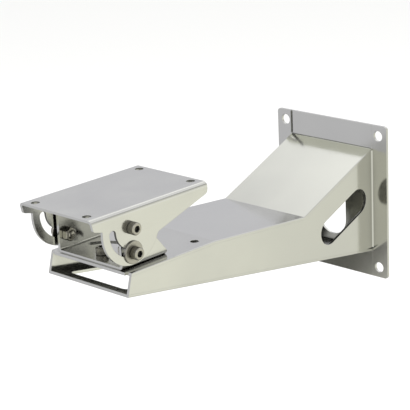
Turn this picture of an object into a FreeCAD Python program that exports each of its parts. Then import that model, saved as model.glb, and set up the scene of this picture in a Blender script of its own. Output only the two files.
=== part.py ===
"""Wall bracket for a surveillance camera: a tapered box arm of stainless sheet, folded at the wall and
welded along its edges, with a pan and tilt head on its front platform.

Frame: the wall is the plane y = 0 and the arm reaches towards -Y. +Z is up. The origin is the centre
of the four wall bolts. Lengths are in millimetres.
"""
import FreeCAD
import Part
import math
import os

os.makedirs("parts", exist_ok=True)

# sheet stock, its bends and the welded joints
SHEET = 3.0
BEND_IN = 1.5
WALL_BEND_IN = 2.0
WELD_EDGE_R = 1.0
SEAM_GAP = 0.3
SEAT_GAP = 0.05

# wall flanges
SIDE_FLANGE_W = 21.0
FLANGE_H = 180.0
FLANGE_CORNER_R = 4.0
WALL_HOLE_D = 12.0
WALL_HOLE_INSET = 12.0
BEND_RELIEF = 2.0

# arm outline, seen from the side
ARM_W = 118.0
ARM_REACH = 388.0
PLATFORM_Z = 24.6
PLATFORM_L = 122.1
SLOPE_RUN = 121.7
PLATFORM_SETBACK = 3.5
SIDE_TOP_SETBACK = 6.6
LIP_INSET = 7.0
FRONT_H = 23.8
REAR_DROP = 11.9
SLOPE_TOP_Z = 62.4
ARM_BOTTOM_Z = -59.9

# openings in the arm
SLOT_R = 15.0
SLOT_L = 54.5
SLOT_BELOW_SLOPE = 42.2
SLOT_FROM_WALL = 54.3
WINDOW_FRAME = 17.0
WINDOW_FRONT = 13.0
WINDOW_L = 205.0
WINDOW_R = 6.0
CABLE_W = 40.0
CABLE_H = 100.0
SPARE_HOLE_D = 9.0
SPARE_HOLE_X = 42.0
SPARE_HOLE_BACK = 112.0

# screws, nuts and washers, all of one thread size
SCREW_D = 8.0
HEAD_D = 13.0
HEAD_H = 8.0
KEY_FLATS = 6.0
KEY_DEPTH = 4.0
NUT_FLATS = 13.0
NUT_H = 6.5
WASHER_D = 16.0
WASHER_T = 1.6
LOCK_WASHER_D = 23.5
LOCK_WASHER_T = 2.0
SCREW_PLAY = 0.3
PIVOT_FIT = 0.05
THREAD_OUT = 1.5

# pan bracket, the lower channel that turns on the platform
PAN_W = 94.0
PAN_L = 62.0
PAN_FRONT_LAP = 1.9
PAN_BOLT_BACK = 17.1
PAN_SLOT_R = 36.0
PAN_SLOT_HALF_DEG = 64.0
PAN_CHEEK_SLANT = 39.0
PAN_CHEEK_HEAD_R = 12.0
PAN_CHEEK_FRONT_R = 6.0

# tilt bracket, the upper channel that carries the camera
TILT_W = 105.0
TILT_FRONT = 52.0
TILT_REAR = 108.0
TILT_BEND_IN = 2.0
TILT_TOP_UP = 20.0
PIVOT_UP = 43.1
PIVOT_BACK = 12.3
TILT_HOLE_D = 9.0
TILT_HOLE_DX = 75.0
TILT_HOLE_DY = 143.0
TILT_HOLE_FRONT = 8.4
CHEEK_LOBE_R = 38.0
CHEEK_FRONT_H = 11.8
CHEEK_FRONT_RAKE = 2.7
CHEEK_FRONT_FALL = 2.9
CHEEK_FRONT_R = 2.5
CHEEK_TAIL_H = 11.6
CHEEK_TAIL_DEG = 16.9
CHEEK_TAIL_R = 5.0
CHEEK_THROAT_R = 4.0
TILT_SLOT_R = 25.2
TILT_SLOT_FRONT_DEG = 88.0
TILT_SLOT_REAR_DEG = 16.0

# worked out from the sizes above
BEND_OUT = BEND_IN + SHEET
WALL_BEND_OUT = WALL_BEND_IN + SHEET
ARM_HALF = ARM_W / 2
FLANGE_HALF = ARM_HALF + SIDE_FLANGE_W
FLANGE_TOP = FLANGE_H / 2
PLATE_FRONT_Y = -SHEET
NEAR_WALL_Y = PLATE_FRONT_Y - WALL_BEND_OUT * 2
PLATFORM_FRONT_Y = PLATFORM_SETBACK - ARM_REACH
KINK_Y = PLATFORM_FRONT_Y + PLATFORM_L
SLOPE_BASE_Y = -SLOPE_RUN
SLOPE_BASE_Z = PLATFORM_Z - REAR_DROP
FRONT_BOTTOM_Z = PLATFORM_Z - FRONT_H
SLOPE_TAN = (SLOPE_TOP_Z - SLOPE_BASE_Z) / (PLATE_FRONT_Y - SLOPE_BASE_Y)
BOTTOM_TAN = (ARM_BOTTOM_Z - FRONT_BOTTOM_Z) / (PLATE_FRONT_Y + ARM_REACH)
FOLD_LOW_Z = ARM_BOTTOM_Z + SHEET + BEND_RELIEF
FOLD_TOP_Z = SLOPE_TOP_Z - BEND_RELIEF
ARM_FAR_Y = -ARM_REACH - SHEET * 10
PAST = SHEET * 10

SCREW_R = SCREW_D / 2
CLEAR_R = SCREW_R + SCREW_PLAY
PIVOT_R = SCREW_R + PIVOT_FIT

PAN_HALF = PAN_W / 2
PAN_FRONT_Y = PLATFORM_FRONT_Y + PAN_FRONT_LAP
PAN_REAR_Y = PAN_FRONT_Y + PAN_L
PAN_BASE_Z = PLATFORM_Z + SEAT_GAP
PAN_TOP_Z = PAN_BASE_Z + SHEET
PAN_BOLT_Y = PAN_FRONT_Y + PAN_BOLT_BACK
PAN_LOCK_Y = PAN_BOLT_Y + PAN_SLOT_R

PIVOT_Y = PLATFORM_FRONT_Y + PIVOT_BACK
PIVOT_Z = PLATFORM_Z + PIVOT_UP
TILT_HALF = TILT_W / 2
CHEEK_GAP = TILT_HALF - SHEET - PAN_HALF
TILT_TOP_Z = PIVOT_Z + TILT_TOP_UP
TILT_FRONT_Y = PIVOT_Y - TILT_FRONT
TILT_REAR_Y = PIVOT_Y + TILT_REAR
LOCK_Z = PIVOT_Z - TILT_SLOT_R

RIGHT = FreeCAD.Vector(1, 0, 0)
LEFT = FreeCAD.Vector(-1, 0, 0)
FORWARD = FreeCAD.Vector(0, -1, 0)
BACK = FreeCAD.Vector(0, 1, 0)
UP = FreeCAD.Vector(0, 0, 1)
DOWN = FreeCAD.Vector(0, 0, -1)


def vec(x, y, z):
    return FreeCAD.Vector(x, y, z)


def box(x0, x1, y0, y1, z0, z1):
    return Part.makeBox(x1 - x0, y1 - y0, z1 - z0, vec(x0, y0, z0))


def cylinder(radius, length, base, axis):
    return Part.makeCylinder(radius, length, base, axis)


def line(start, end):
    return Part.LineSegment(start, end).toShape()


def arc(start, middle, end):
    return Part.Arc(start, middle, end).toShape()


def corner_arc(before, corner, after, radius):
    """The start, middle and end of the arc that rounds one corner of a path."""
    to_before = (before - corner).normalize()
    to_after = (after - corner).normalize()
    half = to_before.getAngle(to_after) / 2
    reach = radius / math.tan(half)
    inward = (to_before + to_after).normalize()
    middle = corner + inward * (radius / math.sin(half) - radius)
    return corner + to_before * reach, middle, corner + to_after * reach


def rounded_face(corners):
    """A flat face from corner points, each with the radius that rounds it (0 keeps it sharp)."""
    count = len(corners)
    stops = []
    for index, (point, radius) in enumerate(corners):
        before, after = corners[index - 1][0], corners[(index + 1) % count][0]
        stops.append(corner_arc(before, point, after, radius) if radius else (point, point, point))
    edges = []
    for index, (start, middle, end) in enumerate(stops):
        if corners[index][1]:
            edges.append(arc(start, middle, end))
        edges.append(line(end, stops[(index + 1) % count][0]))
    return Part.Face(Part.Wire(edges))


def side_prism(corners, x0, x1):
    """A solid between x0 and x1 whose outline is given as (y, z, corner radius)."""
    face = rounded_face([(vec(x0, y, z), radius) for y, z, radius in corners])
    return face.extrude(vec(x1 - x0, 0, 0))


def plan_prism(corners, z0, z1):
    """A solid between z0 and z1 whose outline is given as (x, y, corner radius)."""
    face = rounded_face([(vec(x, y, z0), radius) for x, y, radius in corners])
    return face.extrude(vec(0, 0, z1 - z0))


def wall_prism(corners, y0, y1):
    """A solid between y0 and y1 whose outline is given as (x, z, corner radius)."""
    face = rounded_face([(vec(x, y0, z), radius) for x, z, radius in corners])
    return face.extrude(vec(0, y1 - y0, 0))


def round_slot(start, end, radius, depth):
    """A straight slot with round ends between two centres, as deep as the given vector."""
    along = (end - start).normalize() * radius
    aside = depth.cross(along).normalize() * radius
    edges = [line(start + aside, end + aside), arc(end + aside, end + along, end - aside),
             line(end - aside, start - aside), arc(start - aside, start - along, start + aside)]
    return Part.Face(Part.Wire(edges)).extrude(depth)


def curved_slot(centre, zero, quarter, radius, start_deg, end_deg, depth):
    """A screw slot along a circle, with round ends. Its angles turn from zero towards quarter."""
    def around(distance, degrees, over=0.0):
        turn = math.radians(degrees)
        out = zero * math.cos(turn) + quarter * math.sin(turn)
        tangent = quarter * math.cos(turn) - zero * math.sin(turn)
        return centre + out * distance + tangent * over

    middle = (start_deg + end_deg) / 2
    far, near = radius + CLEAR_R, radius - CLEAR_R
    edges = [arc(around(far, start_deg), around(far, middle), around(far, end_deg)),
             arc(around(far, end_deg), around(radius, end_deg, CLEAR_R), around(near, end_deg)),
             arc(around(near, end_deg), around(near, middle), around(near, start_deg)),
             arc(around(near, start_deg), around(radius, start_deg, -CLEAR_R), around(far, start_deg))]
    return Part.Face(Part.Wire(edges)).extrude(depth)


def joined(pieces):
    return pieces[0].fuse(pieces[1:]).removeSplitter()


def mirrored(shape):
    return shape.mirror(vec(0, 0, 0), RIGHT)


def moved_line(start, end, distance):
    """The line through two (y, z) points, moved to its right, as a point and a unit direction."""
    dy, dz = end[0] - start[0], end[1] - start[1]
    length = math.hypot(dy, dz)
    dy, dz = dy / length, dz / length
    return (start[0] + dz * distance, start[1] - dy * distance), (dy, dz)


def crossing(line_a, line_b):
    """The point where two lines in the (y, z) plane cross."""
    (ay, az), (ady, adz) = line_a
    (by, bz), (bdy, bdz) = line_b
    along = ((by - ay) * bdz - (bz - az) * bdy) / (ady * bdz - adz * bdy)
    return ay + ady * along, az + adz * along


def inset_path(points, distance):
    """An open path of (y, z) points moved to its right, with its ends at the same y as before."""
    lines = [moved_line(a, b, distance) for a, b in zip(points, points[1:])]
    upright = (0.0, 1.0)
    first = crossing(lines[0], (points[0], upright))
    last = crossing(lines[-1], (points[-1], upright))
    return [first] + [crossing(a, b) for a, b in zip(lines, lines[1:])] + [last]


def top_path(front_y, back_y):
    """The arm's upper line, from in front of the arm to the wall."""
    back_z = SLOPE_TOP_Z + SLOPE_TAN * (back_y - PLATE_FRONT_Y)
    return [(front_y, PLATFORM_Z), (KINK_Y, PLATFORM_Z), (SLOPE_BASE_Y, SLOPE_BASE_Z), (back_y, back_z)]


def bottom_path(front_y, back_y):
    """The arm's lower line, from in front of the arm to the wall."""
    back_z = ARM_BOTTOM_Z + BOTTOM_TAN * (back_y - PLATE_FRONT_Y)
    return [(front_y, FRONT_BOTTOM_Z + BOTTOM_TAN * (front_y + ARM_REACH)), (back_y, back_z)]


def edges_at(shape, x_place, middles):
    """The edges of a solid at |x| = x_place whose middle is at one of the given (y, z) points."""
    found = []
    for edge in shape.Edges:
        middle = edge.CenterOfMass
        for y, z in middles:
            if max(abs(abs(middle.x) - x_place), abs(middle.y - y), abs(middle.z - z)) < 0.01:
                found.append(edge)
    return found


def arm_lines():
    """The arm's upper and lower lines, each as its outer and its inner face, from afar to the wall."""
    top = top_path(ARM_FAR_Y, PLATE_FRONT_Y)
    bottom = bottom_path(ARM_FAR_Y, PLATE_FRONT_Y)
    return top, inset_path(top, SHEET), bottom, inset_path(bottom, -SHEET)


def plate_along(upper, lower, half):
    """A solid between two lines across the arm, each a list of (y, z) points from afar to the wall."""
    return side_prism([(y, z, 0) for y, z in upper + lower[::-1]], -half, half)


def welded_edges(shape, line_points):
    """Rounds the edges of a plate where it lies on the side walls, along one line of (y, z) points."""
    middles = [((y0 + y1) / 2, (z0 + z1) / 2) for (y0, z0), (y1, z1) in zip(line_points, line_points[1:])]
    return shape.makeFillet(WELD_EDGE_R, edges_at(shape, ARM_HALF, middles))


def front_trim():
    """What lies in front of the arm's raked front end, less the lip that the platform keeps."""
    rake = SIDE_TOP_SETBACK / FRONT_H
    over, under = PLATFORM_Z + PAST, FRONT_BOTTOM_Z - PAST
    far = -ARM_REACH - PAST * 3
    corners = [(far, under, 0), (rake * (under - FRONT_BOTTOM_Z) - ARM_REACH, under, 0),
               (rake * (over - FRONT_BOTTOM_Z) - ARM_REACH, over, 0), (far, over, 0)]
    trim = side_prism(corners, -ARM_W, ARM_W)
    lip_half = ARM_HALF - LIP_INSET
    lip = box(-lip_half, lip_half, PLATFORM_FRONT_Y, KINK_Y, PLATFORM_Z - SHEET, PLATFORM_Z + SHEET)
    return trim.cut(lip)


def side_slot():
    """The long round-ended slot through both side walls, parallel to the slope."""
    rise = math.atan(SLOPE_TAN)
    over_z = SLOPE_TOP_Z - SLOPE_TAN * (SLOT_FROM_WALL + PLATE_FRONT_Y)
    middle = vec(-ARM_W, -SLOT_FROM_WALL, over_z - SLOT_BELOW_SLOPE / math.cos(rise))
    reach = vec(0, math.cos(rise), math.sin(rise)) * (SLOT_L / 2)
    return round_slot(middle - reach, middle + reach, SLOT_R, RIGHT * (ARM_W * 2))


def platform_holes():
    """Holes in the platform for the pan screw and its lock screw, and the spare hole behind them."""
    places = [(0.0, PAN_BOLT_Y, PIVOT_R), (0.0, PAN_LOCK_Y, CLEAR_R),
              (SPARE_HOLE_X, SPARE_HOLE_BACK - ARM_REACH, SPARE_HOLE_D / 2)]
    return [cylinder(radius, SHEET * 3, vec(x, y, PLATFORM_Z - SHEET * 2), UP) for x, y, radius in places]


def wall_turn():
    """The last stretch of the slope, turned up against the wall as the upper wall flange."""
    start_z = SLOPE_TOP_Z - SLOPE_TAN * (PLATE_FRONT_Y - NEAR_WALL_Y)
    under_z = start_z - SHEET * math.hypot(1, SLOPE_TAN)
    back_z = under_z - SLOPE_TAN * NEAR_WALL_Y
    corners = [(NEAR_WALL_Y, under_z, 0), (0.0, back_z, WALL_BEND_OUT), (0.0, FLANGE_TOP, 0),
               (PLATE_FRONT_Y, FLANGE_TOP, 0), (PLATE_FRONT_Y, SLOPE_TOP_Z, WALL_BEND_IN),
               (NEAR_WALL_Y, start_z, 0)]
    strip = side_prism(corners, -ARM_HALF, ARM_HALF)
    seam = box(-ARM_HALF - SHEET, SEAM_GAP - ARM_HALF, PLATE_FRONT_Y - SHEET, SHEET, SLOPE_TOP_Z,
               FLANGE_TOP + SHEET)
    return strip.cut(seam)


def top_strip():
    """The arm's top, folded from one strip: platform, rear top, slope and upper wall flange."""
    outer, inner = arm_lines()[:2]
    plate = welded_edges(plate_along(outer, inner, ARM_HALF), outer)
    near_wall = box(-ARM_W, ARM_W, NEAR_WALL_Y, SHEET, -FLANGE_H, FLANGE_H)
    plate = plate.cut([near_wall, front_trim()] + platform_holes())
    return joined([plate, wall_turn()])


def side_fold():
    """The fold from the right side wall to its wall flange, between its reliefs."""
    inner, far = ARM_HALF - SHEET, ARM_HALF + WALL_BEND_OUT
    corners = [(inner, NEAR_WALL_Y, 0), (ARM_HALF, NEAR_WALL_Y, 0), (ARM_HALF, PLATE_FRONT_Y, WALL_BEND_IN),
               (far, PLATE_FRONT_Y, 0), (far, 0.0, 0), (inner, 0.0, WALL_BEND_OUT)]
    top = top_path(-ARM_REACH, SHEET)
    under_top = side_prism([(y, z, 0) for y, z in top + [(SHEET, -FLANGE_H), (-ARM_REACH, -FLANGE_H)]],
                           0, ARM_W)
    return plan_prism(corners, FOLD_LOW_Z, FOLD_TOP_Z).common(under_top)


def side_flange(edge):
    """The full-height wall flange right of the arm, with its two bolt holes."""
    fold = ARM_HALF + WALL_BEND_IN
    corners = [(ARM_HALF, -FLANGE_TOP, 0), (FLANGE_HALF, -FLANGE_TOP, FLANGE_CORNER_R),
               (FLANGE_HALF, FLANGE_TOP, FLANGE_CORNER_R), (edge, FLANGE_TOP, 0),
               (edge, FOLD_TOP_Z, 0), (fold, FOLD_TOP_Z, 0), (fold, FOLD_LOW_Z, 0),
               (ARM_HALF, FOLD_LOW_Z, 0)]
    flange = wall_prism(corners, PLATE_FRONT_Y, 0.0)
    x = FLANGE_HALF - WALL_HOLE_INSET
    z = FLANGE_TOP - WALL_HOLE_INSET
    holes = [cylinder(WALL_HOLE_D / 2, SHEET * 3, vec(x, -SHEET * 2, side * z), BACK) for side in (-1, 1)]
    return flange.cut(holes)


def side_wall(flange_edge):
    """The right side wall, folded out at the wall: it stands between the top strip and the bottom."""
    over, under = arm_lines()[1::2]
    wall = side_prism([(y, z, 0) for y, z in over + under[::-1]], ARM_HALF - SHEET, ARM_HALF)
    near_wall = box(0, ARM_W, NEAR_WALL_Y, SHEET, -FLANGE_H, FLANGE_H)
    wall = wall.cut([near_wall, side_slot(), front_trim()])
    return joined([wall, side_fold().cut(wall_turn()), side_flange(flange_edge)])


def back_plate():
    """The flat plate between the wall flanges, which closes the arm's root around the cable hole."""
    wide = ARM_HALF
    narrow = ARM_HALF - SHEET - SEAT_GAP
    top = SLOPE_TOP_Z - SHEET * math.hypot(1, SLOPE_TAN) - SEAT_GAP
    low = FOLD_LOW_Z - SEAT_GAP
    corners = [(-wide, -FLANGE_TOP, 0), (wide, -FLANGE_TOP, 0), (wide, low, 0), (narrow, low, 0),
               (narrow, top, 0), (-narrow, top, 0), (-narrow, low, 0), (-wide, low, 0)]
    plate = wall_prism(corners, PLATE_FRONT_Y, 0.0)
    end = vec(0, 0, (CABLE_H - CABLE_W) / 2)
    front = FORWARD * (SHEET * 2)
    return plate.cut(round_slot(front - end, front + end, CABLE_W / 2, BACK * (SHEET * 3)))


def bottom_cover():
    """The flat plate under the side walls, cut out to a window behind its front strip."""
    outer, inner = arm_lines()[2:]
    plate = welded_edges(plate_along(inner, outer, ARM_HALF), outer)
    open_half = ARM_HALF - WINDOW_FRAME
    front = WINDOW_FRONT - ARM_REACH
    rear = front + WINDOW_L
    window = plan_prism([(-open_half, front, WINDOW_R), (open_half, front, WINDOW_R),
                         (open_half, rear, WINDOW_R), (-open_half, rear, WINDOW_R)],
                        ARM_BOTTOM_Z - PAST, PLATFORM_Z)
    return plate.cut([window, front_trim()])


def channel_skin(half, y0, y1, base_z, cheek_z, bend_in):
    """A sheet bent to a U: its base's outer face is at base_z and its cheeks reach to cheek_z."""
    side = 1 if cheek_z > base_z else -1

    def block(inset, extra, radius):
        x, z = half - inset, base_z + side * inset
        low, high = sorted((z, cheek_z + side * extra))
        solid = box(-x, x, y0 - extra, y1 + extra, low, high)
        return solid.makeFillet(radius, edges_at(solid, x, [((y0 + y1) / 2, z)]))

    return block(0.0, 0.0, bend_in + SHEET).cut(block(SHEET, SHEET, bend_in))


def across(radius, y, z):
    """A round bar along X through every cheek, to cut their holes."""
    return cylinder(radius, TILT_W * 2, vec(-TILT_W, y, z), RIGHT)


def pan_bracket():
    """The lower channel: upright in front, slanting behind, its cheeks rounded over the pivot and with
    a spacer ring welded on round each screw hole."""
    head_z = PIVOT_Z + PAN_CHEEK_HEAD_R
    foot_z = PAN_BASE_Z + BEND_OUT
    head_y = PAN_REAR_Y - math.tan(math.radians(PAN_CHEEK_SLANT)) * (head_z - foot_z)
    skin = channel_skin(PAN_HALF, PAN_FRONT_Y, PAN_REAR_Y, PAN_BASE_Z, head_z, BEND_IN)
    outline = side_prism([(PAN_FRONT_Y, PAN_BASE_Z, 0), (PAN_REAR_Y, PAN_BASE_Z, 0),
                          (PAN_REAR_Y, foot_z, 0), (head_y, head_z, PAN_CHEEK_HEAD_R),
                          (PAN_FRONT_Y, head_z, PAN_CHEEK_FRONT_R)], -PAN_W, PAN_W)
    spacers = [cylinder(WASHER_D / 2, CHEEK_GAP - SEAT_GAP, vec(PAN_HALF, PIVOT_Y, z), RIGHT)
               for z in (PIVOT_Z, LOCK_Z)]
    channel = joined([skin.common(outline)] + spacers + [mirrored(spacer) for spacer in spacers])
    bolt = vec(0, PAN_BOLT_Y, PAN_BASE_Z - SHEET)
    slot = curved_slot(bolt, BACK, LEFT, PAN_SLOT_R, -PAN_SLOT_HALF_DEG, PAN_SLOT_HALF_DEG,
                       UP * (SHEET * 3))
    hole = cylinder(PIVOT_R, SHEET * 3, bolt, UP)
    return channel.cut([slot, hole, across(PIVOT_R, PIVOT_Y, PIVOT_Z), across(PIVOT_R, PIVOT_Y, LOCK_Z)])


def tilt_cheek_outline():
    """Side view of the tilt bracket: a shallow flange that grows to a round lobe about the pivot."""
    front_z = TILT_TOP_Z - CHEEK_FRONT_H
    tail_z = TILT_TOP_Z - CHEEK_TAIL_H
    under_pivot_z = tail_z - math.tan(math.radians(CHEEK_TAIL_DEG)) * TILT_REAR
    lobe_y = PIVOT_Y - CHEEK_LOBE_R
    flange = side_prism([(TILT_FRONT_Y, TILT_TOP_Z, 0),
                         (TILT_FRONT_Y + CHEEK_FRONT_RAKE, front_z, CHEEK_FRONT_R),
                         (lobe_y, front_z - CHEEK_FRONT_FALL, 0), (lobe_y, PIVOT_Z, 0),
                         (PIVOT_Y, under_pivot_z, 0), (TILT_REAR_Y, tail_z, CHEEK_TAIL_R),
                         (TILT_REAR_Y, TILT_TOP_Z, 0)], -TILT_W, TILT_W)
    outline = joined([flange, cylinder(CHEEK_LOBE_R, TILT_W * 2, vec(-TILT_W, PIVOT_Y, PIVOT_Z), RIGHT)])
    return outline.makeFillet(CHEEK_THROAT_R, throat_edges(outline, under_pivot_z))


def throat_edges(outline, under_pivot_z):
    """The edge where the lobe's circle meets the straight edge of the tail."""
    found = []
    for edge in outline.Edges:
        middle = edge.CenterOfMass
        y, z = middle.y - PIVOT_Y, middle.z - PIVOT_Z
        tail = under_pivot_z - PIVOT_Z + math.tan(math.radians(CHEEK_TAIL_DEG)) * y
        if y > 0 and abs(math.hypot(y, z) - CHEEK_LOBE_R) < 0.01 and abs(z - tail) < 0.01:
            found.append(edge)
    return found


def tilt_bracket():
    """The upper channel that carries the camera, with a curved slot in each cheek."""
    skin = channel_skin(TILT_HALF, TILT_FRONT_Y, TILT_REAR_Y, TILT_TOP_Z, PIVOT_Z - CHEEK_LOBE_R - SHEET,
                        TILT_BEND_IN)
    slot = curved_slot(vec(-TILT_W, PIVOT_Y, PIVOT_Z), DOWN, FORWARD, TILT_SLOT_R,
                       -TILT_SLOT_REAR_DEG, TILT_SLOT_FRONT_DEG, RIGHT * (TILT_W * 2))
    cuts = [slot, across(PIVOT_R, PIVOT_Y, PIVOT_Z)]
    first_y = TILT_FRONT_Y + TILT_HOLE_FRONT
    for x in (-TILT_HOLE_DX / 2, TILT_HOLE_DX / 2):
        for y in (first_y, first_y + TILT_HOLE_DY):
            cuts.append(cylinder(TILT_HOLE_D / 2, SHEET * 3, vec(x, y, TILT_TOP_Z - SHEET * 2), UP))
    return skin.common(tilt_cheek_outline()).cut(cuts)


def hexagon(flats, depth):
    """A six-sided bar along +Z on z = 0, with the given width across its flats."""
    corner = vec(flats / math.sqrt(3), 0, 0)
    turns = [FreeCAD.Rotation(UP, 60 * step) for step in range(7)]
    return Part.Face(Part.makePolygon([turn.multVec(corner) for turn in turns])).extrude(UP * depth)


def cap_screw(grip):
    """A socket-head cap screw along +Z: its head ends at z = 0 and its shank reaches up by the grip."""
    head = cylinder(HEAD_D / 2, HEAD_H, DOWN * HEAD_H, UP)
    key = hexagon(KEY_FLATS, KEY_DEPTH)
    key.translate(DOWN * HEAD_H)
    return joined([head, cylinder(SCREW_R, grip, vec(0, 0, 0), UP)]).cut(key)


def hex_nut():
    """A nut along +Z on z = 0."""
    return hexagon(NUT_FLATS, NUT_H).cut(cylinder(PIVOT_R, NUT_H * 3, DOWN * NUT_H, UP))


def washer_screw(grip, diameter, height):
    """A cap screw with a captive washer under its head."""
    return joined([cap_screw(grip), cylinder(diameter / 2, height, vec(0, 0, 0), UP)])


def placed(shape, x, y, z, axis):
    """A shape made along +Z, laid along another axis from a base point."""
    copy = shape.copy()
    copy.Placement = FreeCAD.Placement(vec(x, y, z), FreeCAD.Rotation(UP, axis))
    return copy


def tilt_fasteners():
    """Screws and nuts of the tilt joint's right side."""
    outside = TILT_HALF + SEAT_GAP
    inside = PAN_HALF - SHEET
    lock_head = outside + LOCK_WASHER_T
    past_nut = NUT_H + THREAD_OUT - inside
    lock = washer_screw(lock_head + past_nut, LOCK_WASHER_D, LOCK_WASHER_T)
    return {
        "pivot_screw": placed(cap_screw(outside + past_nut), outside, PIVOT_Y, PIVOT_Z, LEFT),
        "pivot_nut": placed(hex_nut(), inside, PIVOT_Y, PIVOT_Z, LEFT),
        "lock_screw": placed(lock, lock_head, PIVOT_Y, LOCK_Z, LEFT),
        "lock_nut": placed(hex_nut(), inside, PIVOT_Y, LOCK_Z, LEFT),
    }


def pan_fasteners():
    """The screw that the pan bracket turns on, and the one that clamps it through its curved slot."""
    over = PAN_TOP_Z + SEAT_GAP
    lock_head = over + WASHER_T
    under = PLATFORM_Z - SHEET
    past_nut = NUT_H + THREAD_OUT - under
    lock = washer_screw(lock_head + past_nut, WASHER_D, WASHER_T)
    return {
        "pan_screw": placed(cap_screw(over + past_nut), 0, PAN_BOLT_Y, over, DOWN),
        "pan_nut": placed(hex_nut(), 0, PAN_BOLT_Y, under, DOWN),
        "pan_lock_screw": placed(lock, 0, PAN_LOCK_Y, lock_head, DOWN),
        "pan_lock_nut": placed(hex_nut(), 0, PAN_LOCK_Y, under, DOWN),
    }


def all_nodes():
    nodes = {"top_strip": top_strip(), "side_wall_right": side_wall(ARM_HALF),
             "side_wall_left": mirrored(side_wall(ARM_HALF + SEAM_GAP)), "back_plate": back_plate(),
             "bottom_cover": bottom_cover(), "pan_bracket": pan_bracket(), "tilt_bracket": tilt_bracket()}
    nodes.update(pan_fasteners())
    for name, shape in tilt_fasteners().items():
        nodes[name + "_right"] = shape
        nodes[name + "_left"] = mirrored(shape)
    return nodes


for node, shape in all_nodes().items():
    shape.exportStep("parts/" + node + ".step")
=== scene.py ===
import bpy
import bmesh
import math
from mathutils import Matrix, Vector


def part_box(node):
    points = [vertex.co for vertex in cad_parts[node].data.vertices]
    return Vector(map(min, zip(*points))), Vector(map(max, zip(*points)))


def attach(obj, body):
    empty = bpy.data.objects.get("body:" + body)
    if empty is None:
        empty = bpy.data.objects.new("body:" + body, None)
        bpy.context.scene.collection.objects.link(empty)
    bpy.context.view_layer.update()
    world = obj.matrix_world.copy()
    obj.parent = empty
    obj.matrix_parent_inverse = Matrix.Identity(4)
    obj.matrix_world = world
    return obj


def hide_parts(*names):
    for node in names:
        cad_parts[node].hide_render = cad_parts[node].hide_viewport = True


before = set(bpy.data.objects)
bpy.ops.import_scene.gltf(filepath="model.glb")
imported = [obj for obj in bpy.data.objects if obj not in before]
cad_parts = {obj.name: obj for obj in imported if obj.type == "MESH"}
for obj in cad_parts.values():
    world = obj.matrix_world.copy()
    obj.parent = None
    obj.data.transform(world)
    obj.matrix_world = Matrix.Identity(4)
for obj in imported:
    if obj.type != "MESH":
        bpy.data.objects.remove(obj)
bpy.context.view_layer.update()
MM = 0.001  # the pieces are worked out in millimetres, and the frame is in metres
SHEET_NODES = ("top_strip", "side_wall_right", "side_wall_left", "back_plate", "bottom_cover", "pan_bracket",
               "tilt_bracket")
SIDES = ("right", "left")
FLOOR_Z = -0.62  # well below the bracket, so that no shadow of it shows


# ---------------------------------------------------------------- camera

def make_camera():
    """The photograph's view: seen from the front right and a little above, with a long lens."""
    azimuth, elevation, roll = math.radians(44.345), math.radians(17.676), math.radians(-2.615)
    target, distance = Vector((-2.11448, 1.94829, -0.92414)), 4.87782
    right = Vector((math.cos(azimuth), math.sin(azimuth), 0.0))
    up = Vector((-math.sin(azimuth) * math.sin(elevation), math.cos(azimuth) * math.sin(elevation),
                 math.cos(elevation)))
    back = Vector((math.sin(azimuth) * math.cos(elevation), -math.cos(azimuth) * math.cos(elevation),
                   math.sin(elevation)))
    tilted_right = right * math.cos(roll) + up * math.sin(roll)
    tilted_up = up * math.cos(roll) - right * math.sin(roll)
    place = Matrix((tilted_right, tilted_up, back)).transposed().to_4x4()
    place.translation = target + back * distance
    data = bpy.data.cameras.new("camera")
    data.lens = 140.35
    data.sensor_width = 36.0
    data.sensor_fit = "HORIZONTAL"
    data.clip_start = 0.05
    camera = bpy.data.objects.new("camera", data)
    bpy.context.scene.collection.objects.link(camera)
    camera.matrix_world = place
    bpy.context.scene.camera = camera


make_camera()


# ---------------------------------------------------------------- node helpers

def ramp(tree, source, stops):
    node = tree.nodes.new("ShaderNodeValToRGB")
    node.color_ramp.interpolation = "EASE"
    while len(node.color_ramp.elements) < len(stops):
        node.color_ramp.elements.new(0.5)
    for element, (place, colour) in zip(node.color_ramp.elements, stops):
        element.position = place
        element.color = (*colour, 1.0)
    tree.links.new(source, node.inputs["Fac"])
    return node.outputs["Color"]


def remap(tree, source, low, high, new_low, new_high, kind="LINEAR"):
    node = tree.nodes.new("ShaderNodeMapRange")
    node.interpolation_type = kind
    for name, value in (("From Min", low), ("From Max", high), ("To Min", new_low), ("To Max", new_high)):
        node.inputs[name].default_value = value
    tree.links.new(source, node.inputs["Value"])
    return node.outputs["Result"]


def plus(tree, a, b):
    node = tree.nodes.new("ShaderNodeMath")
    node.operation = "ADD"
    tree.links.new(a, node.inputs[0])
    tree.links.new(b, node.inputs[1])
    return node.outputs[0]


def mixed(tree, factor, first, second):
    """A mix of two colours, each a socket or three numbers."""
    node = tree.nodes.new("ShaderNodeMix")
    node.data_type = "RGBA"
    tree.links.new(factor, node.inputs[0])
    for index, colour in ((6, first), (7, second)):
        if isinstance(colour, tuple):
            node.inputs[index].default_value = (*colour, 1.0)
        else:
            tree.links.new(colour, node.inputs[index])
    return node.outputs[2]


def along(tree, vector, direction):
    """How far a vector points along a fixed direction."""
    node = tree.nodes.new("ShaderNodeVectorMath")
    node.operation = "DOT_PRODUCT"
    tree.links.new(vector, node.inputs[0])
    node.inputs[1].default_value = direction
    return node.outputs["Value"]


# ---------------------------------------------------------------- steel

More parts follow.
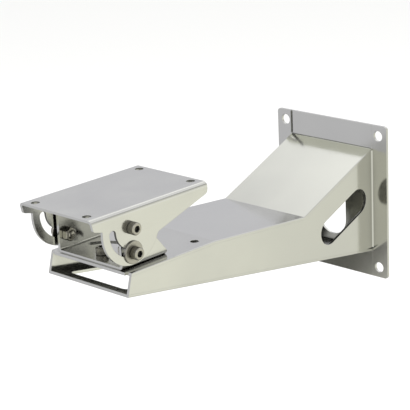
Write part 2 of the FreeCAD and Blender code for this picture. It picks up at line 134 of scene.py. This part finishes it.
def steel(name, colour, stain, roughness, edge, grain=(1.0, 1.0, 1.0), grain_scale=700.0, wave=0.0, painted_shade_tone=0.4):
    """Stainless steel: fine grain, a faint rolling wave, wiped patches, softened edges, and painted shade that
    darkens the colour in corners and enclosed places.
    """
    material = bpy.data.materials.new(name)
    material.use_nodes = True
    tree = material.node_tree
    shader = tree.nodes["Principled BSDF"]
    shader.inputs["Metallic"].default_value = 1.0
    place = tree.nodes.new("ShaderNodeTexCoord").outputs["Object"]

    def noise(scale, detail, stretch=(1.0, 1.0, 1.0)):
        mapping = tree.nodes.new("ShaderNodeMapping")
        mapping.inputs["Scale"].default_value = stretch
        tree.links.new(place, mapping.inputs["Vector"])
        node = tree.nodes.new("ShaderNodeTexNoise")
        node.inputs["Scale"].default_value = scale
        node.inputs["Detail"].default_value = detail
        tree.links.new(mapping.outputs["Vector"], node.inputs["Vector"])
        return node.outputs["Fac"]

    patches = noise(11.0, 3.0)
    fine = noise(grain_scale, 4.0, grain)
    smudge = noise(46.0, 5.0, (1.0, 0.6, 1.0))
    tint = ramp(tree, remap(tree, patches, 0.3, 0.7, 0.0, 1.0), [(0.0, stain), (1.0, colour)])
    # painted shade: an ambient-occlusion probe darkens the base colour towards a darker copy of the stain
    # colour in corners, creases and enclosed places
    shade_probe = tree.nodes.new("ShaderNodeAmbientOcclusion")
    shade_probe.samples = 16
    shade_probe.inputs["Distance"].default_value = 0.03
    painted_shade_colour = tuple(value * painted_shade_tone for value in stain)
    unshaded_share = remap(tree, shade_probe.outputs["AO"], 0.0, 0.66, 0.0, 1.0)
    tree.links.new(mixed(tree, unshaded_share, painted_shade_colour, tint), shader.inputs["Base Color"])
    worn = plus(tree, remap(tree, smudge, 0.35, 0.75, 0.0, roughness * 0.5),
                remap(tree, fine, 0.3, 0.7, roughness * 0.7, roughness * 1.15))
    tree.links.new(worn, shader.inputs["Roughness"])
    soft = tree.nodes.new("ShaderNodeBevel")
    soft.samples = 6
    soft.inputs["Radius"].default_value = edge
    rolled = tree.nodes.new("ShaderNodeBump")
    rolled.inputs["Strength"].default_value = wave
    rolled.inputs["Distance"].default_value = 0.0012
    tree.links.new(noise(7.0, 1.0), rolled.inputs["Height"])
    tree.links.new(soft.outputs["Normal"], rolled.inputs["Normal"])
    brushed = tree.nodes.new("ShaderNodeBump")
    brushed.inputs["Strength"].default_value = 0.05
    brushed.inputs["Distance"].default_value = 0.00004
    tree.links.new(fine, brushed.inputs["Height"])
    tree.links.new(rolled.outputs["Normal"], brushed.inputs["Normal"])
    tree.links.new(brushed.outputs["Normal"], shader.inputs["Normal"])
    return material


BRUSHED = {"edge": 0.0004, "grain": (1.0, 0.05, 1.0), "grain_scale": 900.0, "wave": 0.08}
CUT_GRAIN = {"grain": (1.0, 1.0, 0.15), "grain_scale": 1500.0}
# each steel's painted shade in enclosed places has its own depth; the sheet, head and cover steels are copies
# that differ mainly in it, the cover's going nearly black inside the arm
SHEET = steel("sheet_steel", (0.565, 0.565, 0.540), (0.540, 0.540, 0.520), 0.13, painted_shade_tone=0.40, **BRUSHED)
HEAD = steel("head_steel", (0.565, 0.565, 0.540), (0.535, 0.535, 0.515), 0.15, painted_shade_tone=0.80, **BRUSHED)
COVER = steel("cover_steel", (0.560, 0.560, 0.535), (0.530, 0.530, 0.505), 0.15, painted_shade_tone=0.06, **BRUSHED)
FASTENER = steel("screw_steel", (0.42, 0.405, 0.355), (0.32, 0.31, 0.275), 0.24, 0.0002, painted_shade_tone=0.25)
# painted shade: a darker copy of the screw steel for the knurled side of the heads, standing for the shade in
# the knurl's grooves
KNURL = steel("knurl_painted_shade", (0.255, 0.245, 0.21), (0.17, 0.165, 0.14), 0.22, 0.0001, painted_shade_tone=0.30)
WASHER = steel("washer_steel", (0.41, 0.395, 0.35), (0.34, 0.33, 0.295), 0.34, 0.0002, painted_shade_tone=0.4)
# dark steel for laser-cut walls; the screws' hex sockets also take it, as painted shade of the recess
CUT_EDGE_AND_SHADE = steel("cut_edge_and_shade", (0.17, 0.17, 0.155), (0.11, 0.11, 0.10), 0.42, 0.0001, **CUT_GRAIN)
RIM = steel("rim_steel", (0.46, 0.46, 0.44), (0.38, 0.38, 0.36), 0.30, 0.0001, **CUT_GRAIN)
# dark steel for the seam beads: painted shade of the gap along the joints
SEAM_SHADE = steel("seam_bead_shade", (0.24, 0.24, 0.225), (0.17, 0.17, 0.16), 0.45, 0.0001)


def dress(node, material):
    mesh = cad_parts[node].data
    mesh.materials.clear()
    mesh.materials.append(material)


# the brackets and the bottom cover take copies of the sheet steel with lighter or deeper painted shade
OWN_SHEET = {"pan_bracket": HEAD, "tilt_bracket": HEAD, "bottom_cover": COVER}
for sheet_node in SHEET_NODES:
    dress(sheet_node, OWN_SHEET.get(sheet_node, SHEET))
for other_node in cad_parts:
    if other_node not in SHEET_NODES:
        dress(other_node, FASTENER)


# ---------------------------------------------------------------- mesh helpers

def to_axis(axis, base):
    """Moves what is made along +Z on z = 0 to a base point and an axis."""
    turn = Vector((0.0, 0.0, 1.0)).rotation_difference(Vector(axis)).to_matrix().to_4x4()
    return Matrix.Translation(Vector(base)) @ turn


def loops_to_mesh(name, loops, cap_first, cap_last, place, sharp_deg=35.0):
    """A mesh from rings of points of the same count, one after the other, in millimetres."""
    mesh = bpy.data.meshes.new(name)
    bm = bmesh.new()
    rings = [[bm.verts.new(Vector(point) * MM) for point in loop] for loop in loops]
    count = len(rings[0])
    for lower, upper in zip(rings, rings[1:]):
        for index in range(count):
            after = (index + 1) % count
            bm.faces.new((lower[index], lower[after], upper[after], upper[index]))
    if cap_first:
        bm.faces.new(rings[0][::-1])
    if cap_last:
        bm.faces.new(rings[-1])
    bmesh.ops.recalc_face_normals(bm, faces=bm.faces)
    bm.transform(place)
    bm.to_mesh(mesh)
    bm.free()
    mesh.shade_smooth()
    mesh.set_sharp_from_angle(angle=math.radians(sharp_deg))
    item = bpy.data.objects.new(name, mesh)
    bpy.context.scene.collection.objects.link(item)
    return item


def add_piece(item, material, body):
    item.data.materials.append(material)
    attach(item, body)


def circle(radius, z, count):
    return [(radius * math.cos(math.tau * i / count), radius * math.sin(math.tau * i / count), z)
            for i in range(count)]


def hex_radius(angle, flats):
    within = (angle + math.pi / 6) % (math.pi / 3) - math.pi / 6
    return flats / 2 / math.cos(within)


def hex_ring(flats, z, count, turned=0.0, limit=99.0):
    ring = []
    for i in range(count):
        angle = math.tau * i / count
        radius = min(hex_radius(angle + turned, flats), limit)
        ring.append((radius * math.cos(angle), radius * math.sin(angle), z))
    return ring


def knurled_ring(radius, depth, z, teeth, count):
    ring = []
    for i in range(count):
        angle = math.tau * i / count
        crest = 0.5 + 0.5 * math.cos(angle * teeth)
        here = radius - depth * (1.0 - crest ** 0.6)
        ring.append((here * math.cos(angle), here * math.sin(angle), z))
    return ring


def thread_rings(radius, z0, z1, pitch, count):
    """A shank with a real helical thread, from z0 to z1."""
    rows = max(4, int(abs(z1 - z0) / pitch * 8))
    rings = []
    for row in range(rows + 1):
        z = z0 + (z1 - z0) * row / rows
        fade = min(1.0, row / 6.0, (rows - row) / 6.0)
        ring = []
        for i in range(count):
            turn = (z / pitch - i / count) % 1.0
            groove = abs(turn * 2.0 - 1.0)
            here = radius - 0.62 * fade * groove
            angle = math.tau * i / count
            ring.append((here * math.cos(angle), here * math.sin(angle), z))
        rings.append(ring)
    return rings


# ---------------------------------------------------------------- screws, nuts and washers

HEAD_H, HEAD_R, SCREW_R = 8.0, 6.5, 3.98
KEY_FLATS, KEY_DEPTH = 6.0, 3.95
PITCH, KNURL_TEETH = 1.25, 30
NUT_FLATS, NUT_FACE_R, NUT_CHAMFER_STEPS = 13.0, 6.1, 7
COUNT, SHANK_COUNT = 120, 40  # points round a head and round a shank


def cap_screw(node, body, axis, turned):
    """A socket-head cap screw: knurled, chamfered head with a hexagon socket, and a threaded shank.

    Returns the point on its axis under the head.
    """
    low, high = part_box(node)
    centre = (low + high) / 2
    axis = Vector(axis)
    length = abs((high - low).dot(axis)) / MM
    place = to_axis(axis, centre + axis * (length / 2 * MM))
    base = -HEAD_H
    mouth, shoulder = circle(3.55, -0.06, COUNT), circle(HEAD_R - 0.40, -0.75, COUNT)
    loops = [circle(0.02, -KEY_DEPTH, COUNT), hex_ring(KEY_FLATS, -KEY_DEPTH + 0.35, COUNT, turned),
             hex_ring(KEY_FLATS, -0.45, COUNT, turned), mouth]
    socket = loops_to_mesh(node + "_socket", loops, True, False, place, 28.0)
    # painted shade: the socket takes the dark cut-edge steel, darkening the recess
    add_piece(socket, CUT_EDGE_AND_SHADE, body)
    loops = [mouth, circle(3.95, 0.0, COUNT), circle(HEAD_R - 1.15, 0.0, COUNT),
             circle(HEAD_R - 0.95, -0.10, COUNT), shoulder]
    head = loops_to_mesh(node + "_head", loops, False, False, place, 28.0)
    add_piece(head, FASTENER, body)
    loops = [shoulder]
    for share in (0.0, 0.04, 0.5, 0.96, 1.0):
        depth = 0.05 if share in (0.0, 1.0) else 0.40
        loops.append(knurled_ring(HEAD_R - (0.18 if share in (0.0, 1.0) else 0.0), depth,
                                  -0.95 + (base + 0.55 + 0.95) * share, KNURL_TEETH, COUNT))
    loops += [circle(HEAD_R - 0.45, base + 0.12, COUNT), circle(HEAD_R - 0.7, base, COUNT),
              circle(SCREW_R + 0.02, base, COUNT)]
    grip = loops_to_mesh(node + "_knurl", loops, False, False, place, 28.0)
    # the knurl takes the darker steel: painted shade of its grooves
    add_piece(grip, KNURL, body)
    shank = [circle(SCREW_R, base + 0.2, SHANK_COUNT)]
    shank += thread_rings(SCREW_R, base - 1.0, -length + 0.7, PITCH, SHANK_COUNT)
    shank.append(circle(SCREW_R - 0.75, -length, SHANK_COUNT))
    rod = loops_to_mesh(node + "_thread", shank, True, True, place, 60.0)
    add_piece(rod, FASTENER, body)
    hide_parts(node)
    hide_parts(node)
    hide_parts(node)
    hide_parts(node)
    return centre + axis * ((length / 2 - HEAD_H) * MM)


def captive_washer(node, body, axis, under_head, across, thick):
    """A stamped washer under a screw's head, with one rolled and one sharper rim."""
    place = to_axis(axis, under_head - Vector(axis) * (thick * MM))
    loops = [circle(4.3, thick - 0.1, 96), circle(4.3, 0.1, 96), circle(4.45, 0.0, 96),
             circle(across - 0.12, 0.0, 96), circle(across, 0.15, 96), circle(across, thick - 0.5, 96),
             circle(across - 0.12, thick - 0.2, 96), circle(across - 0.45, thick - 0.03, 96),
             circle(across - 0.7, thick, 96), circle(4.5, thick, 96), circle(4.3, thick - 0.1, 96)]
    item = loops_to_mesh(node + "_washer", loops, False, False, place, 40.0)
    add_piece(item, WASHER, body)
    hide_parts(node)


def hex_nut(node, body, axis, turned):
    """A nut with both faces chamfered to a circle and a countersunk bore."""
    low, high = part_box(node)
    axis = Vector(axis)
    centre = (low + high) / 2
    height = abs((high - low).dot(axis)) / MM
    place = to_axis(axis, centre - axis * (height / 2 * MM))
    slope = math.tan(math.radians(30))
    loops = [circle(4.02, 0.55, COUNT), circle(4.5, 0.0, COUNT), circle(5.9, 0.0, COUNT)]
    reaches = [NUT_FACE_R + 1.5 * step / NUT_CHAMFER_STEPS for step in range(NUT_CHAMFER_STEPS + 1)]
    for reach in reaches:
        loops.append(hex_ring(NUT_FLATS, (reach - NUT_FACE_R) * slope + 0.02, COUNT, turned, reach))
    for reach in reversed(reaches):
        loops.append(hex_ring(NUT_FLATS, height - (reach - NUT_FACE_R) * slope - 0.02, COUNT, turned, reach))
    loops += [circle(5.9, height, COUNT), circle(4.5, height, COUNT), circle(4.02, height - 0.55, COUNT)]
    loops.append(loops[0])
    item = loops_to_mesh(node + "_piece", loops, False, False, place, 24.0)
    add_piece(item, FASTENER, body)
    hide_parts(node)


OUTWARD = {"right": (1.0, 0.0, 0.0), "left": (-1.0, 0.0, 0.0)}
UPWARD = (0.0, 0.0, 1.0)
for side in SIDES:
    cap_screw("pivot_screw_" + side, "pan", OUTWARD[side], 0.32)
    seat = cap_screw("lock_screw_" + side, "pan", OUTWARD[side], 0.1)
    captive_washer("lock_screw_" + side, "pan", OUTWARD[side], seat, 11.75, 2.0)
    hex_nut("pivot_nut_" + side, "pan", OUTWARD[side], 0.2)
    hex_nut("lock_nut_" + side, "pan", OUTWARD[side], 0.45)
cap_screw("pan_screw", "arm", UPWARD, 0.25)
seat = cap_screw("pan_lock_screw", "arm", UPWARD, 0.6)
captive_washer("pan_lock_screw", "arm", UPWARD, seat, 8.0, 1.6)
hex_nut("pan_nut", "arm", UPWARD, 0.1)
hex_nut("pan_lock_nut", "arm", UPWARD, 0.5)


# ---------------------------------------------------------------- cut edges and seams

# profiles of a hole's wall: share of the depth, and how far it stands out from the hole's own wall
WHOLE_CUT = ((0.02, -0.12), (0.10, 0.03), (0.55, 0.04), (0.92, 0.03), (0.985, -0.08))
LOWER_CUT = ((0.02, -0.12), (0.10, 0.03), (0.40, 0.03), (0.62, 0.02))
UPPER_CUT = ((0.62, 0.02), (0.80, 0.05), (0.93, 0.04), (0.985, -0.10))


def cut_wall(name, body, outline, depth, profile=WHOLE_CUT, material=None):
    """The wall of a laser cut, a hair inside the hole's own wall. Its outline runs once round."""
    depth = Vector(depth)
    points = [Vector(point) for point in outline]
    count = len(points)
    middle = sum(points, Vector()) / count
    inward, vote = [], 0.0
    for index, point in enumerate(points):
        tangent = points[(index + 1) % count] - points[index - 1]
        normal = tangent.cross(depth).normalized()
        inward.append(normal)
        vote += (middle - point).dot(normal) * tangent.length
    side = 1.0 if vote > 0 else -1.0
    loops = []
    for share, inset in profile:
        loops.append([point + normal * (side * inset) + depth * share for point, normal in zip(points, inward)])
    item = loops_to_mesh(name, loops, False, False, Matrix.Identity(4), 50.0)
    add_piece(item, material or CUT_EDGE_AND_SHADE, body)


def arc_points(centre, zero, quarter, radius, start_deg, end_deg, steps):
    points = []
    for step in range(steps + 1):
        turn = math.radians(start_deg + (end_deg - start_deg) * step / steps)
        points.append(centre + zero * (radius * math.cos(turn)) + quarter * (radius * math.sin(turn)))
    return points


def straight_slot(start, end, radius, aside):
    """The outline of a slot with round ends."""
    along_slot = (end - start).normalized()
    points = arc_points(end, aside, along_slot, radius, 0.0, 180.0, 24)
    return points + arc_points(start, -aside, -along_slot, radius, 0.0, 180.0, 24)


PIVOT = (-372.2, 67.7)  # y and z of the tilt axis
HOLE_R, HOLE_STEPS = 4.5, 47
PLATE_HOLES = ((-37.5, -415.8), (37.5, -415.8), (-37.5, -272.8), (37.5, -272.8))
SLOT_RISE = math.atan(0.4187)  # the side slots lie along the slope
SLOT_HALF, SLOT_R = 27.25, 15.0


def cheek_slot(x):
    """The outline of the tilt cheek's curved slot at one x."""
    pivot, down, forward = Vector((x, *PIVOT)), Vector((0, 0, -1)), Vector((0, -1, 0))
    mean, half, first, last = 25.2, 4.3, -16.0, 88.0
    points = arc_points(pivot, down, forward, mean + half, first, last, 40)
    for end, turn in ((last, 1), (first, -1)):
        angle = math.radians(end)
        out = down * math.cos(angle) + forward * math.sin(angle)
        over = (forward * math.cos(angle) - down * math.sin(angle)) * turn
        cap = arc_points(pivot + out * mean, out * turn, over, half, 0.0, 180.0, 12)
        points += cap[1:-1]
        if turn == 1:
            points += arc_points(pivot, down, forward, mean - half, last, first, 40)
    return points


def edge_pieces():
    """The cut walls of the slots and holes."""
    lean = Vector((0, math.cos(SLOT_RISE), math.sin(SLOT_RISE)))
    aside = Vector((0, -math.sin(SLOT_RISE), math.cos(SLOT_RISE)))
    for side, sign in (("right", 1), ("left", -1)):
        middle = Vector((sign * 56.0, -54.3, -4.83))
        outline = straight_slot(middle - lean * SLOT_HALF, middle + lean * SLOT_HALF, SLOT_R, aside)
        cut_wall("side_slot_cut_" + side, "arm", outline, (sign * 3.0, 0, 0))
        cut_wall("cheek_slot_cut_" + side, "tilt", cheek_slot(sign * 49.5), (sign * 3.0, 0, 0))
    east, north = Vector((1, 0, 0)), Vector((0, 1, 0))
    for index, (x, y) in enumerate(PLATE_HOLES):
        outline = arc_points(Vector((x, y, 84.7)), east, north, HOLE_R, 0.0, 352.5, HOLE_STEPS)
        cut_wall("plate_hole_cut_%d" % index, "tilt", outline, (0, 0, 3.0), LOWER_CUT, RIM)
        cut_wall("plate_hole_rim_%d" % index, "tilt", outline, (0, 0, 3.0), UPPER_CUT)
    outline = arc_points(Vector((42.0, -276.0, 21.6)), east, north, HOLE_R, 0.0, 352.5, HOLE_STEPS)
    cut_wall("spare_hole_cut", "arm", outline, (0, 0, 3.0))


def seam(name, start, end, width, proud, face):
    """A shallow bead with round shoulders between two points, on a face with the given normal; its dark steel
    is painted shade of the joint's gap.
    """
    start, end, face = Vector(start), Vector(end), Vector(face).normalized()
    aside = (end - start).cross(face).normalized()
    steps, loops = 60, []
    profile = [(-0.5, -0.4), (-0.46, 0.35), (-0.28, 0.85), (0.0, 1.0), (0.28, 0.85), (0.46, 0.35), (0.5, -0.4)]
    for step in range(steps + 1):
        share = step / steps
        point = start.lerp(end, share)
        swell = 1.0 + 0.10 * math.sin(share * 41.0) * math.sin(share * 97.0)
        loops.append([point + aside * (u * width * swell) + face * (v * proud) for u, v in profile])
    item = loops_to_mesh(name, loops, True, True, Matrix.Identity(4), 60.0)
    add_piece(item, SEAM_SHADE, "arm")


edge_pieces()
# dark beads along the flange joint and the slope junction: real beads, painted shade of their gaps
seam("flange_seam", (-58.85, -3.0, 63.6), (-58.85, -3.0, 89.7), 1.4, 1.5, (0, -1, 0))
seam("slope_seam", (-58.2, -3.36, 62.64), (58.4, -3.36, 62.64), 1.2, 0.20, (0, -0.832, 0.555))


# ---------------------------------------------------------------- floor, world and lights

def make_floor():
    bpy.ops.mesh.primitive_grid_add(x_subdivisions=8, y_subdivisions=8, size=40.0, location=(0.0, 0.0, FLOOR_Z))
    floor = bpy.context.object
    floor.name = "floor"
    material = bpy.data.materials.new("floor_paper")
    material.use_nodes = True
    shader = material.node_tree.nodes["Principled BSDF"]
    shader.inputs["Base Color"].default_value = (0.90, 0.90, 0.895, 1.0)
    shader.inputs["Roughness"].default_value = 1.0
    shader.inputs["Specular IOR Level"].default_value = 0.0
    floor.data.materials.append(material)
    floor.visible_glossy = False


# what the studio shows in each direction: direction, inner and outer angle, colour
STUDIO = (
    ((0.666, 0.681, -0.304), 22.0, 62.0, (0.96, 0.96, 0.86)),
    ((0.780, 0.550, -0.304), 4.0, 18.0, (1.24, 1.24, 1.09)),
    ((-0.67, 0.70, 0.25), 12.0, 34.0, (0.78, 0.78, 0.82)),
    ((-0.666, 0.262, 0.698), 10.0, 30.0, (1.72, 1.73, 1.66)),
    ((-0.774, 0.064, 0.630), 3.0, 24.0, (0.82, 0.82, 0.82)),
    ((-0.666, -0.262, 0.698), 8.0, 20.0, (1.15, 1.17, 1.03)),
    ((-0.666, -0.681, -0.304), 20.0, 45.0, (0.80, 0.80, 0.835)),
    ((0.666, -0.681, -0.304), 18.0, 40.0, (1.15, 1.15, 1.01)),
    ((-0.315, 0.681, 0.661), 5.0, 17.0, (1.50, 1.50, 1.50)),
    ((0.560, 0.680, 0.470), 3.0, 11.0, (0.52, 0.52, 0.52)),
    ((0.725, 0.680, -0.060), 2.0, 9.0, (1.35, 1.35, 1.27)),
    ((0.520, 0.220, 0.800), 8.0, 24.0, (0.80, 0.80, 0.79)),
    ((-0.310, 0.680, -0.660), 8.0, 25.0, (0.42, 0.42, 0.41)),
)


def make_world():
    """An even pale studio, brighter overhead, with soft lighter and darker panels round it."""
    world = bpy.data.worlds.new("studio")
    world.use_nodes = True
    bpy.context.scene.world = world
    tree = world.node_tree
    tree.nodes.clear()
    direction = tree.nodes.new("ShaderNodeTexCoord").outputs["Generated"]
    height = along(tree, direction, (0.0, 0.0, 1.0))
    colour = ramp(tree, remap(tree, height, -1.0, 1.0, 0.0, 1.0),
                  [(0.0, (0.45, 0.45, 0.44)), (0.25, (0.70, 0.70, 0.68)), (0.38, (0.86, 0.86, 0.86)),
                   (0.50, (0.86, 0.86, 0.88)), (0.65, (0.92, 0.92, 0.95)), (0.82, (1.20, 1.20, 1.20)),
                   (1.0, (0.78, 0.78, 0.79))])
    for centre, inner, outer, shade in STUDIO:
        near = along(tree, direction, Vector(centre).normalized())
        share = remap(tree, near, math.cos(math.radians(outer)), math.cos(math.radians(inner)), 0.0, 1.0,
                      "SMOOTHSTEP")
        colour = mixed(tree, share, colour, shade)
    light = tree.nodes.new("ShaderNodeBackground")
    tree.links.new(colour, light.inputs["Color"])
    output = tree.nodes.new("ShaderNodeOutputWorld")
    tree.links.new(light.outputs["Background"], output.inputs["Surface"])


def softbox(name, place, aim, width, height, power):
    data = bpy.data.lights.new(name, "AREA")
    data.shape = "RECTANGLE"
    data.size, data.size_y = width, height
    data.energy = power
    item = bpy.data.objects.new(name, data)
    item.location = place
    item.rotation_euler = (Vector(aim) - Vector(place)).to_track_quat("-Z", "Y").to_euler()
    item.visible_camera = False
    item.visible_glossy = False
    bpy.context.scene.collection.objects.link(item)


def grey_card():
    """A grey card below and left of the arm, lighter to its lower right, which shows only in the steel."""
    towards = Vector((0.666, 0.681, 0.304)).normalized()
    centre = Vector((0.045, -0.003, -0.075)) - towards * 0.42
    across = Vector((0.715, -0.699, 0.0)).normalized()
    downward = towards.cross(across).normalized()
    mesh = bpy.data.meshes.new("grey_card")
    corners = [(-0.40, -0.06), (0.12, -0.06), (0.12, 0.09), (-0.40, 0.09)]
    mesh.from_pydata([centre + across * u + downward * v for u, v in corners], [], [(0, 1, 2, 3)])
    item = bpy.data.objects.new("grey_card", mesh)
    bpy.context.scene.collection.objects.link(item)
    material = bpy.data.materials.new("grey_card")
    material.use_nodes = True
    tree = material.node_tree
    shader = tree.nodes["Principled BSDF"]
    place = tree.nodes.new("ShaderNodeTexCoord").outputs["Object"]
    diagonal = (across + downward).normalized()
    start = centre.dot(diagonal)
    share = remap(tree, along(tree, place, diagonal), start, start + 0.10, 0.0, 1.0)
    tree.links.new(ramp(tree, share, [(0.11, (0.135, 0.135, 0.12)), (0.37, (0.145, 0.145, 0.13)),
                                      (0.55, (0.25, 0.25, 0.225)), (0.72, (0.48, 0.475, 0.44)),
                                      (0.88, (0.60, 0.595, 0.56))]),
                   shader.inputs["Base Color"])
    shader.inputs["Roughness"].default_value = 1.0
    shader.inputs["Specular IOR Level"].default_value = 0.0
    item.data.materials.append(material)
    item.visible_camera = False
    item.visible_diffuse = False
    item.visible_shadow = False


make_floor()
make_world()
grey_card()
softbox("overhead", (0.4, -0.3, 2.6), (0.0, -0.2, 0.0), 2.6, 2.6, 60.0)
bpy.context.scene.view_settings.view_transform = "Standard"
